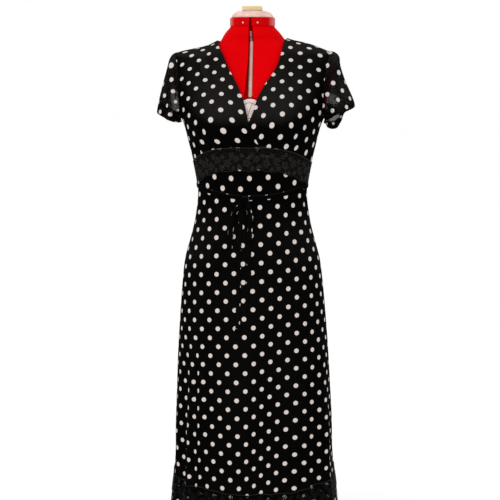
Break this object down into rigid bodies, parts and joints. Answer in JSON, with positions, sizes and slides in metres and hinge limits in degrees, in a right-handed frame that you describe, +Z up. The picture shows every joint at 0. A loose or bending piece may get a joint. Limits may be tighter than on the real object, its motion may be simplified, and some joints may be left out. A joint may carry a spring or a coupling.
{
  "type": "polka dot dress on a dress form",
  "caption": "Long black polka dot dress with a wrapped V neck, short sheer sleeves, lace bands and a waist tie, on a limbless form with a four-legged stand.",
  "frame": {"origin": "centre of the base on the floor, on the pole's axis", "axes": "+Z up along the pole, -Y towards the front of the dress, -X towards the wearer's right"},
  "size_m": [0.569, 0.569, 1.5024],
  "materials": {
    "dotted_cloth": "black crepe with off-white dots",
    "sheer_dotted_cloth": "sheer black chiffon with off-white dots",
    "black_lace": "black floral lace",
    "form_red": "bright red jersey over a shell",
    "collar_red": "bright red",
    "form_pale_plastic": "pale pink white",
    "form_dark_plastic": "dark brown",
    "form_cream_block": "cream",
    "form_rivet_metal": "bright",
    "stand_steel": "satin",
    "stand_black": "semi-matt black",
    "stand_rubber": "matt"
  },
  "bodies": {
    "root": {"bodice_front_right": "dotted_cloth", "bodice_front_left": "dotted_cloth", "bodice_back": "dotted_cloth", "midriff_front": "dotted_cloth", "skirt_front": "dotted_cloth", "skirt_back": "dotted_cloth", "hem_flounce_front": "dotted_cloth", "hem_flounce_back": "dotted_cloth", "tie_right": "dotted_cloth", "tie_left": "dotted_cloth", "tie_knot": "dotted_cloth", "tail_right": "dotted_cloth", "tail_left": "dotted_cloth", "bow_loop_right": "dotted_cloth", "bow_loop_left": "dotted_cloth", "tail_end_knot": "dotted_cloth", "sleeve_right": "sheer_dotted_cloth", "sleeve_left": "sheer_dotted_cloth", "lace_waist_front": "black_lace", "lace_hem_front": "black_lace", "lace_hem_back": "black_lace", "form_torso": "form_red", "form_collar_right": "collar_red", "form_collar_left": "collar_red", "form_bar": "form_pale_plastic", "form_dial": "form_pale_plastic", "form_neck_cap": "form_pale_plastic", "form_bar_tip": "form_dark_plastic", "form_top_block": "form_cream_block", "form_rivet_right": "form_rivet_metal", "form_rivet_left": "form_rivet_metal", "stand_pole": "stand_steel", "stand_hub": "stand_black", "stand_leg_left": "stand_black", "stand_leg_right": "stand_black", "stand_leg_front": "stand_black", "stand_leg_back": "stand_black", "stand_pad_left": "stand_rubber", "stand_pad_right": "stand_rubber", "stand_pad_front": "stand_rubber", "stand_pad_back": "stand_rubber"}
  },
  "joints": []
}
